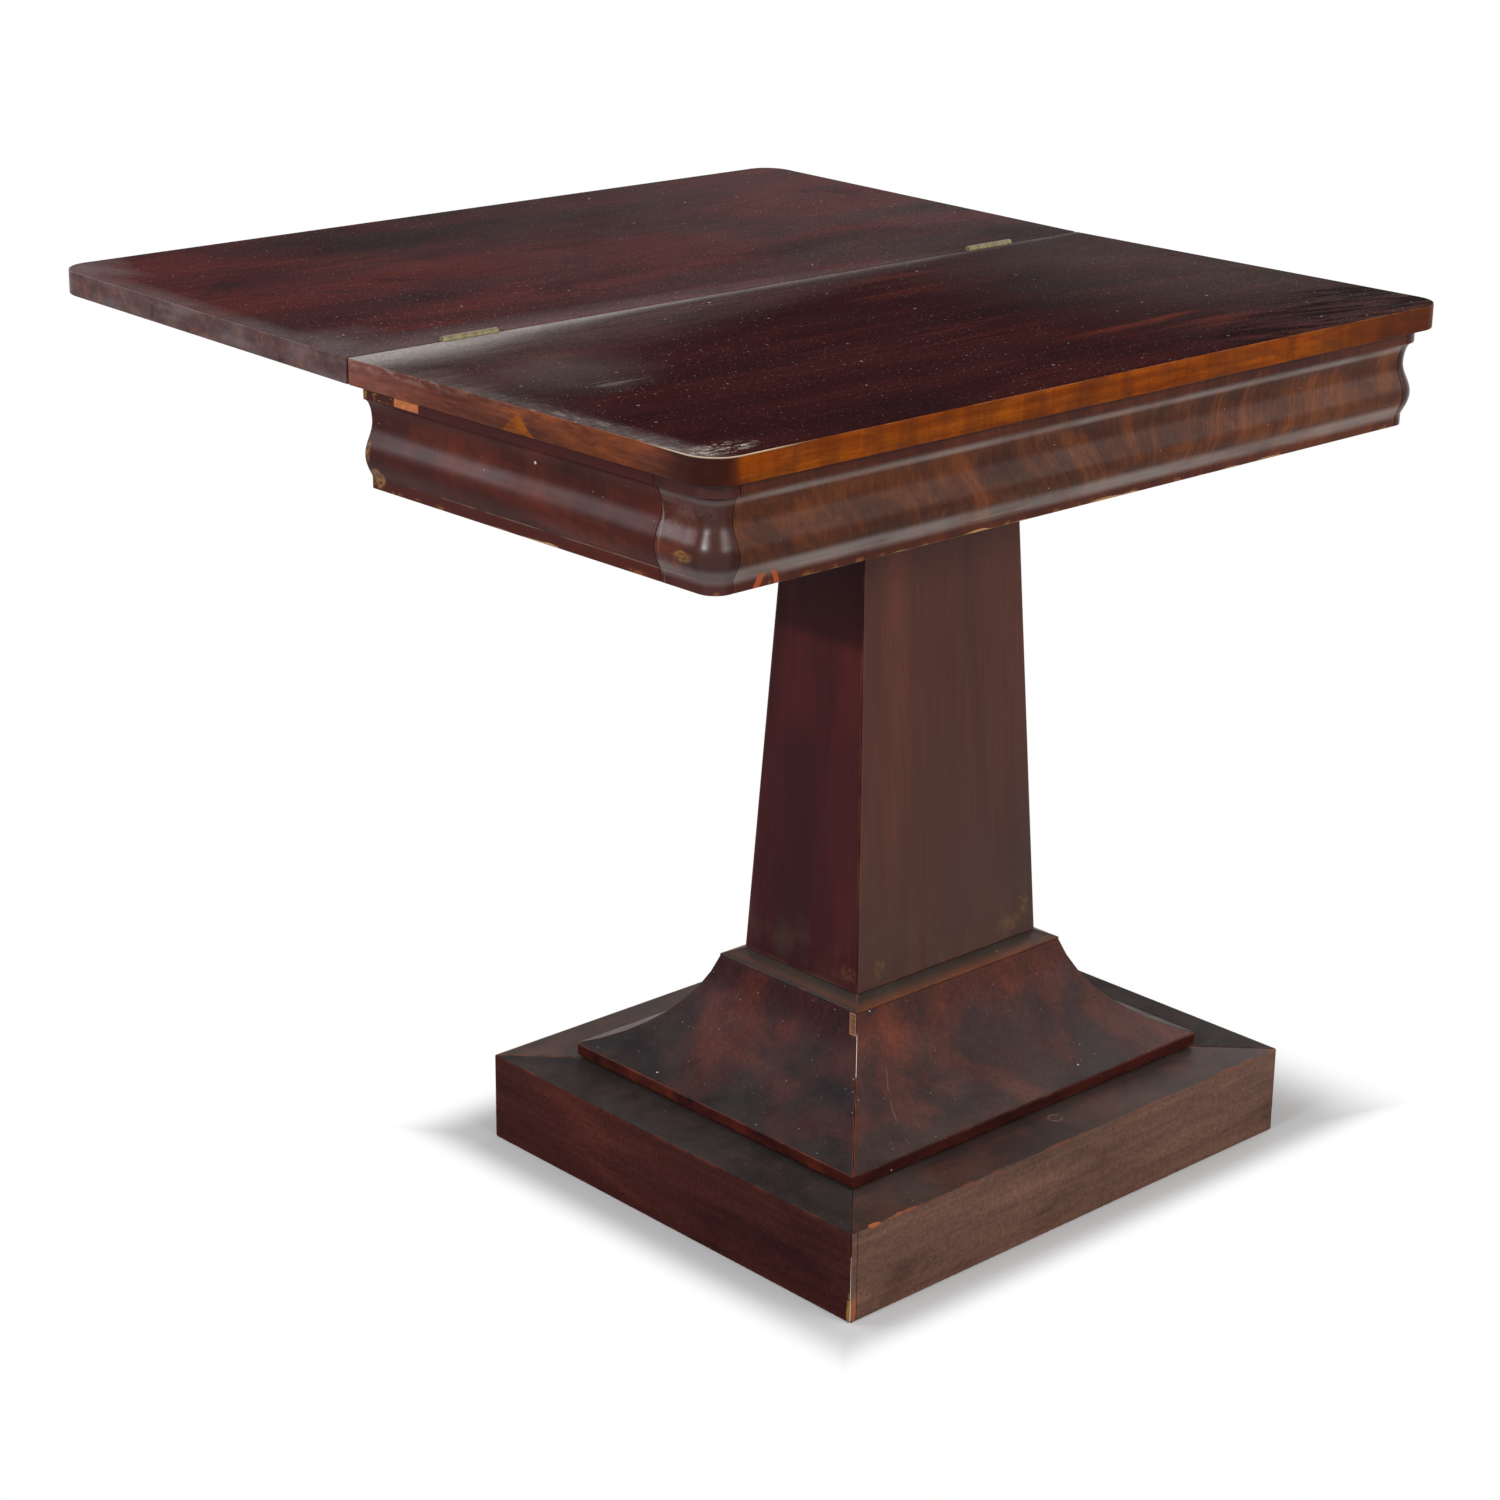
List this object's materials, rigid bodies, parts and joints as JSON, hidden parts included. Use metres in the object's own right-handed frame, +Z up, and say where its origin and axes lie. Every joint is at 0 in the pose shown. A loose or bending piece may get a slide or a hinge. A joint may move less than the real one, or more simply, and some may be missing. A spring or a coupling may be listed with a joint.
{
  "type": "card table",
  "caption": "Swivel-top, fold-over mahogany card table: a moulded frame with a card well on a tapered square pillar, a coved block and a box plinth.",
  "frame": {"origin": "the middle of the plinth's underside, on the floor, at the cross bearer's underside", "axes": "+X along the table's long side towards its right end, seen from the long moulded side; +Y from that side towards the hinged flap; +Z up"},
  "size_m": [0.86, 0.8603, 0.7512],
  "materials": {
    "mahogany_top": "dark burgundy mahogany veneer, dulled polish with dust and wear",
    "mahogany_flame": "figured crotch mahogany veneer, orange-brown flames, old polish",
    "mahogany_side": "plain red-brown mahogany veneer, old polish",
    "mahogany_pillar": "straight-grained dark mahogany veneer, satin",
    "mahogany_base": "mottled dark mahogany veneer, satin, worn at the arrises",
    "pine": "bare aged pine, sawn and planed",
    "beech": "bare turned beech",
    "brass": "dull olive-yellow aged brass",
    "iron": "dark oxidised iron"
  },
  "bodies": {
    "base": {"plinth_front_rail": "mahogany_base", "plinth_back_rail": "mahogany_base", "plinth_left_rail": "mahogany_base", "plinth_right_rail": "mahogany_base", "plinth_cross_bearer": "pine", "plinth_center_post": "pine", "plinth_glue_block_front_left": "pine", "plinth_glue_block_front_right": "pine", "plinth_glue_block_back_left": "pine", "plinth_glue_block_back_right": "pine", "cove_base_board": "mahogany_base", "cove_front_board": "mahogany_base", "cove_back_board": "mahogany_base", "cove_left_board": "mahogany_base", "cove_right_board": "mahogany_base", "cove_core_block": "pine", "cove_cap_board": "mahogany_base", "column_front_board": "mahogany_pillar", "column_back_board": "mahogany_pillar", "column_left_board": "mahogany_pillar", "column_right_board": "mahogany_pillar", "column_foot_block": "pine", "column_head_block": "pine", "head_bearer": "pine", "bearer_screw_1": "iron", "bearer_screw_2": "iron", "bearer_screw_3": "iron", "bearer_screw_4": "iron", "frame_front_rail": "mahogany_flame", "frame_left_rail": "mahogany_side", "frame_right_rail": "mahogany_side", "frame_corner_left": "mahogany_side", "frame_corner_right": "mahogany_side", "frame_back_rail": "pine", "well_divider": "pine", "well_bottom": "pine", "well_cleat_front": "pine", "well_cleat_back": "pine", "pivot_board": "pine"},
    "top": {"fixed_leaf": "mahogany_top", "swivel_bolt": "iron", "swivel_washer": "iron", "swivel_nut": "iron", "stop_dowel": "beech", "hinge_left_fixed_plate": "brass", "hinge_left_fixed_plate_screw_1": "iron", "hinge_left_fixed_plate_screw_2": "iron", "hinge_left_pin": "brass", "hinge_right_fixed_plate": "brass", "hinge_right_fixed_plate_screw_1": "iron", "hinge_right_fixed_plate_screw_2": "iron", "hinge_right_pin": "brass"},
    "flap": {"flap_leaf": "mahogany_top", "hinge_left_flap_plate": "brass", "hinge_left_flap_plate_screw_1": "iron", "hinge_left_flap_plate_screw_2": "iron", "hinge_right_flap_plate": "brass", "hinge_right_flap_plate_screw_1": "iron", "hinge_right_flap_plate_screw_2": "iron"}
  },
  "joints": [
    {"name": "top_swivel", "type": "hinge", "parent": "base", "child": "top", "pos_m": [0.1075, 0.0897, 0.721], "axis": [0, 0, 1], "range_deg": [0, 90]},
    {"name": "flap_fold", "type": "hinge", "parent": "top", "child": "flap", "pos_m": [0, 0.1972, 0.7434], "axis": [1, 0, 0], "range_deg": [0, 178.9]}
  ]
}
